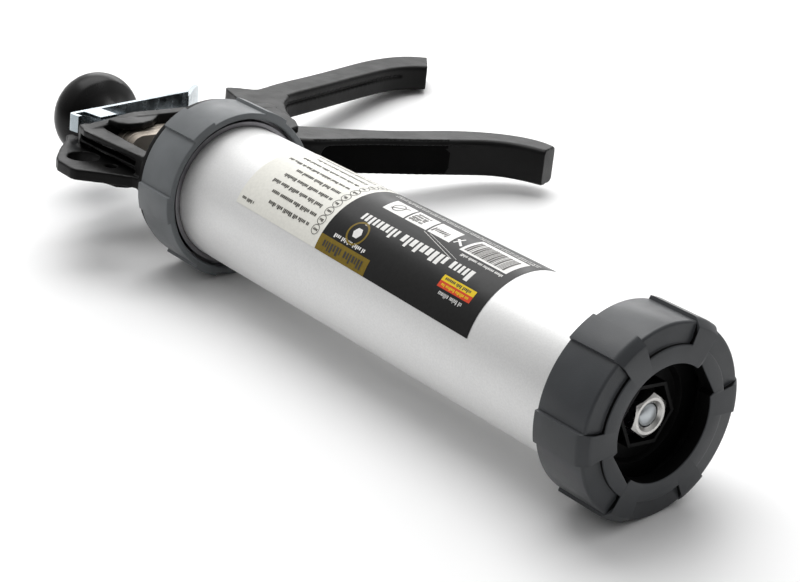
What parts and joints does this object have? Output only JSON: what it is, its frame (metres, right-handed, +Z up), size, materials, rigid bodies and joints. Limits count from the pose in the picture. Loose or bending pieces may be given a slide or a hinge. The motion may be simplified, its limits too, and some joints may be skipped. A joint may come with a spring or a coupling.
{
  "type": "caulking gun",
  "caption": "Closed-barrel caulking gun lying on its side: aluminium tube, toothed screw caps, trigger ratchet, push rod with piston and knob.",
  "frame": {"origin": "centre of the bottom of the gun's box, on the surface that it lies on", "axes": "+X along the barrel towards the nozzle end, +Y towards the handle tips, +Z up from the surface"},
  "size_m": [0.37, 0.2486, 0.0646],
  "materials": {
    "barrel_tube": "matt anodised silver",
    "front_thread_collar": "moulded black",
    "cap_seal": "matt",
    "front_cap": "moulded dark grey",
    "rear_ring_nut": "moulded grey",
    "barrel_ferrule": "turned",
    "barrel_seal": "matt",
    "barrel_label": "printed, satin",
    "body_casting": "satin black powder coat",
    "front_guide_bush": "natural nylon",
    "rear_guide_bush": "natural nylon",
    "spring_seat": "zinc plated",
    "return_spring": "zinc plated wire",
    "trigger": "satin black powder coat",
    "trigger_pin": "zinc plated",
    "pin_clip": "dark phosphate",
    "trigger_washers": "natural nylon",
    "push_rod": "zinc plated",
    "piston": "moulded black",
    "piston_seal": "matt",
    "piston_washer": "zinc plated",
    "piston_front_nut": "bright zinc",
    "piston_rear_nut": "bright zinc",
    "knob": "polished black",
    "knob_insert": "turned",
    "release_plate": "blue zinc plated",
    "release_spring": "zinc plated wire",
    "drive_plate_1": "yellow zinc plated",
    "drive_plate_2": "yellow zinc plated",
    "drive_plate_3": "yellow zinc plated"
  },
  "bodies": {
    "body": {"barrel_tube": "barrel_tube", "front_thread_collar": "front_thread_collar", "barrel_ferrule": "barrel_ferrule", "barrel_seal": "barrel_seal", "barrel_label": "barrel_label", "body_casting": "body_casting", "front_guide_bush": "front_guide_bush", "rear_guide_bush": "rear_guide_bush", "spring_seat": "spring_seat", "return_spring": "return_spring", "trigger_pin": "trigger_pin", "pin_clip": "pin_clip", "trigger_washers": "trigger_washers", "release_spring": "release_spring"},
    "cap_seal": {"cap_seal": "cap_seal"},
    "front_cap": {"front_cap": "front_cap"},
    "rear_ring": {"rear_ring_nut": "rear_ring_nut"},
    "trigger": {"trigger": "trigger"},
    "drive": {"drive_plate_1": "drive_plate_1", "drive_plate_2": "drive_plate_2", "drive_plate_3": "drive_plate_3"},
    "rod": {"push_rod": "push_rod", "piston": "piston", "piston_seal": "piston_seal", "piston_washer": "piston_washer", "piston_front_nut": "piston_front_nut", "piston_rear_nut": "piston_rear_nut", "knob": "knob", "knob_insert": "knob_insert"},
    "release": {"release_plate": "release_plate"}
  },
  "joints": [
    {"name": "cap_travel", "type": "slide", "parent": "body", "child": "cap_seal", "axis": [1, 0, 0], "range_m": [0, 0.0121]},
    {"name": "cap_unscrew", "type": "hinge", "parent": "cap_seal", "child": "front_cap", "pos_m": [0.18358, -0.07509, 0.0323], "axis": [1, 0, 0], "range_deg": [0, 1440]},
    {"name": "ring_turn", "type": "hinge", "parent": "body", "child": "rear_ring", "pos_m": [-0.05342, -0.07509, 0.0323], "axis": [1, 0, 0], "range_deg": [0, 30]},
    {"name": "trigger_pull", "type": "hinge", "parent": "body", "child": "trigger", "pos_m": [-0.09142, -0.03147, 0.02656], "axis": [0, 0.1305, 0.9914], "range_deg": [0, 30], "stiffness_Nm_per_rad": 0.6, "springref_deg": -17.19},
    {"name": "drive_stroke", "type": "slide", "parent": "body", "child": "drive", "axis": [1, 0, 0], "range_m": [0, 0.0157], "deforming": ["return_spring"]},
    {"name": "rod_slide", "type": "slide", "parent": "body", "child": "rod", "axis": [1, 0, 0], "range_m": [-0.205, 0]},
    {"name": "release_press", "type": "hinge", "parent": "body", "child": "release", "pos_m": [-0.12442, -0.10246, 0.0359], "axis": [0, -0.1305, -0.9914], "range_deg": [0, 9], "stiffness_Nm_per_rad": 0.15, "springref_deg": -17.19, "deforming": ["release_spring"]}
  ],
  "couplings": [
    {"joint": "drive_stroke", "follows": "trigger_pull", "m_per_rad": 0.0298},
    {"joint": "cap_travel", "follows": "cap_unscrew", "m_per_rad": 0.00047746}
  ]
}
